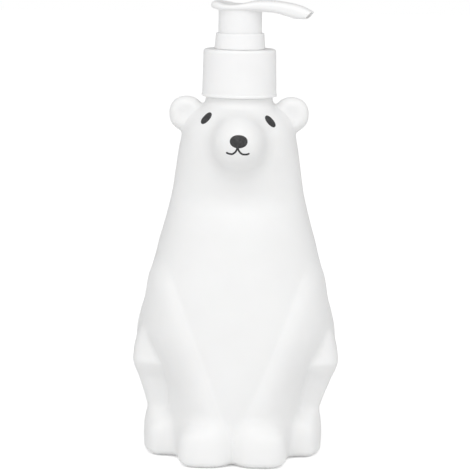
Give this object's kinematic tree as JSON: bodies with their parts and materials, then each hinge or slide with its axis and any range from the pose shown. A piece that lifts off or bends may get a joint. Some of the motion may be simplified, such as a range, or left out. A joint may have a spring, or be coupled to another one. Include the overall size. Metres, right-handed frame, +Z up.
{
  "type": "bear shampoo dispenser",
  "caption": "Hollow white bottle in the shape of a sitting bear, with a screw closure and a lotion pump that is pressed, turned and lifted out.",
  "frame": {"origin": "centre of the bottle's footprint between the sides, on the surface it stands on, on the pump's axis", "axes": "+Z up along the pump's axis, the bear faces -Y, +X is to the right as one looks at the bear's face"},
  "size_m": [0.0926, 0.0844, 0.2043],
  "materials": {
    "bottle_white": "satin white blow-moulded polyethylene",
    "pump_white": "white injection-moulded polypropylene",
    "natural_plastic": "milky natural polypropylene",
    "seal_grey": "soft grey seal plastic",
    "spring_steel": "bright stainless steel"
  },
  "bodies": {
    "bottle": {"bottle": "bottle_white"},
    "pump_core": {"pump_housing": "natural_plastic", "dip_tube": "natural_plastic", "gasket": "seal_grey", "locking_collar": "pump_white", "return_spring": "spring_steel"},
    "closure": {"closure": "pump_white"},
    "piston": {"piston_stem": "natural_plastic", "piston_seal": "seal_grey"},
    "head": {"pump_head": "pump_white"},
    "inlet_ball": {"inlet_ball": "spring_steel"},
    "outlet_ball": {"outlet_ball": "spring_steel"}
  },
  "joints": [
    {"name": "pump_lift", "type": "slide", "parent": "bottle", "child": "pump_core", "axis": [0, 0, 1], "range_m": [0, 0.19]},
    {"name": "closure_turn", "type": "hinge", "parent": "pump_core", "child": "closure", "pos_m": [0, 0, 0.1612], "axis": [0, 0, 1], "range_deg": [0, 540]},
    {"name": "head_press", "type": "slide", "parent": "pump_core", "child": "piston", "axis": [0, 0, -1], "range_m": [0, 0.0083], "stiffness_N_per_m": 250, "springref_m": -0.012, "deforming": ["return_spring"]},
    {"name": "head_turn", "type": "hinge", "parent": "piston", "child": "head", "pos_m": [0, 0, 0.199], "axis": [0, 0, 1], "continuous": true},
    {"name": "inlet_ball_lift", "type": "slide", "parent": "pump_core", "child": "inlet_ball", "axis": [0, 0, 1], "range_m": [0, 0.004]},
    {"name": "outlet_ball_lift", "type": "slide", "parent": "piston", "child": "outlet_ball", "axis": [0, 0, 1], "range_m": [0, 0.0042]}
  ]
}
